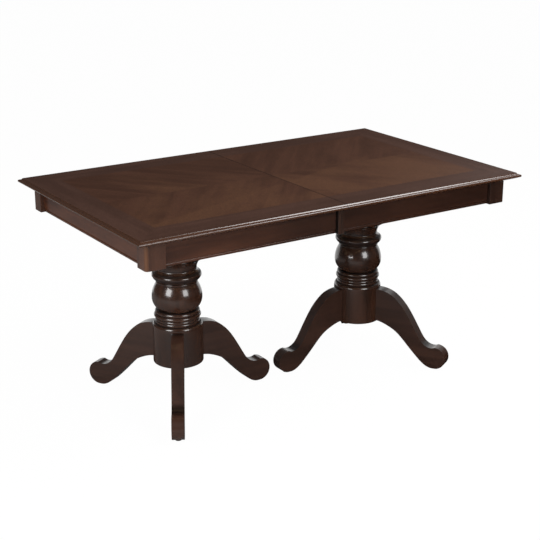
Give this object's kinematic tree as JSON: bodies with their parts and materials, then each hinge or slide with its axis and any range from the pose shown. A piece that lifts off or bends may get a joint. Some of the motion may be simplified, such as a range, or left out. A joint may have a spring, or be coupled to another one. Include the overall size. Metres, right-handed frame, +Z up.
{
  "type": "extending dining table",
  "caption": "Dark wood dining table on turned pedestals with splayed S-shaped legs; its top parts at a middle seam on geared slides and holds a folding leaf.",
  "frame": {"origin": "on the floor under the middle of the closed table, in the plane of the seam", "axes": "+X along the table to its right end, +Y from the front to the back, +Z up"},
  "size_m": [1.524, 0.914, 0.762],
  "materials": {
    "veneered_top": "semi-gloss dark walnut veneer, cross-banded",
    "dark_frame": "semi-gloss dark walnut stain",
    "dark_turned": "semi-gloss dark walnut stain, turned",
    "plain_wood": "plain hardwood, thin lacquer",
    "peg_wood": "bare hardwood",
    "gear_plastic": "matt natural nylon",
    "glide_plastic": "matt dark nylon",
    "hinge_brass": "satin",
    "zinc_steel": "bright zinc plate",
    "lock_steel": "satin nickel plate"
  },
  "bodies": {
    "carriage": {"centre_rail_back": "plain_wood", "centre_rail_front": "plain_wood", "crossbar_left": "plain_wood", "crossbar_right": "plain_wood", "leaf_hinges": "hinge_brass", "leaf_panel_lower": "veneered_top", "leaf_panel_upper": "veneered_top", "leaf_pegs": "peg_wood", "pinion_axles": "zinc_steel"},
    "left_half": {"alignment_pins": "peg_wood", "back_apron_left": "dark_frame", "column_left": "dark_turned", "end_apron_left": "dark_frame", "end_cleat_left": "plain_wood", "front_apron_left": "dark_frame", "glides_left": "glide_plastic", "glue_blocks_left": "plain_wood", "leg_bolts_left": "zinc_steel", "leg_left_back": "dark_turned", "leg_left_front": "dark_turned", "leg_left_inner": "dark_turned", "lock_bracket_back": "lock_steel", "lock_bracket_front": "lock_steel", "pedestal_board_left": "plain_wood", "post_back_left": "dark_frame", "post_front_left": "dark_frame", "rack_left_back": "gear_plastic", "rack_left_front": "gear_plastic", "rail_left_back": "plain_wood", "rail_left_front": "plain_wood", "seam_block_back_left": "dark_frame", "seam_block_front_left": "dark_frame", "tie_rod_left": "zinc_steel", "top_left": "veneered_top"},
    "right_half": {"back_apron_right": "dark_frame", "column_right": "dark_turned", "end_apron_right": "dark_frame", "end_cleat_right": "plain_wood", "front_apron_right": "dark_frame", "glides_right": "glide_plastic", "glue_blocks_right": "plain_wood", "leg_bolts_right": "zinc_steel", "leg_right_back": "dark_turned", "leg_right_front": "dark_turned", "leg_right_inner": "dark_turned", "lock_keepers": "lock_steel", "pedestal_board_right": "plain_wood", "post_back_right": "dark_frame", "post_front_right": "dark_frame", "rack_right_back": "gear_plastic", "rack_right_front": "gear_plastic", "rail_right_back": "plain_wood", "rail_right_front": "plain_wood", "seam_block_back_right": "dark_frame", "seam_block_front_right": "dark_frame", "tie_rod_right": "zinc_steel", "top_right": "veneered_top"},
    "front_pinion": {"pinion_front": "gear_plastic"},
    "back_pinion": {"pinion_back": "gear_plastic"},
    "front_lock_lever": {"lock_lever_front": "lock_steel"},
    "back_lock_lever": {"lock_lever_back": "lock_steel"}
  },
  "joints": [
    {"name": "left_slide", "type": "slide", "parent": "carriage", "child": "left_half", "axis": [-1, 0, 0], "range_m": [0, 0.2285]},
    {"name": "right_slide", "type": "slide", "parent": "carriage", "child": "right_half", "axis": [1, 0, 0], "range_m": [0, 0.2285]},
    {"name": "front_pinion_turn", "type": "hinge", "parent": "carriage", "child": "front_pinion", "pos_m": [0, -0.30796, 0.715], "axis": [0, 0, -1], "range_deg": [0, 818.5]},
    {"name": "back_pinion_turn", "type": "hinge", "parent": "carriage", "child": "back_pinion", "pos_m": [0, 0.30796, 0.715], "axis": [0, 0, 1], "range_deg": [0, 818.5]},
    {"name": "front_lock_turn", "type": "hinge", "parent": "left_half", "child": "front_lock_lever", "pos_m": [-0.028, -0.363, 0.727], "axis": [0, -1, 0], "range_deg": [0, 90]},
    {"name": "back_lock_turn", "type": "hinge", "parent": "left_half", "child": "back_lock_lever", "pos_m": [-0.028, 0.363, 0.727], "axis": [0, -1, 0], "range_deg": [0, 90]}
  ],
  "couplings": [
    {"joint": "right_slide", "follows": "left_slide", "ratio": 1},
    {"joint": "front_pinion_turn", "follows": "left_slide", "rad_per_m": 62.5},
    {"joint": "back_pinion_turn", "follows": "left_slide", "rad_per_m": 62.5}
  ]
}
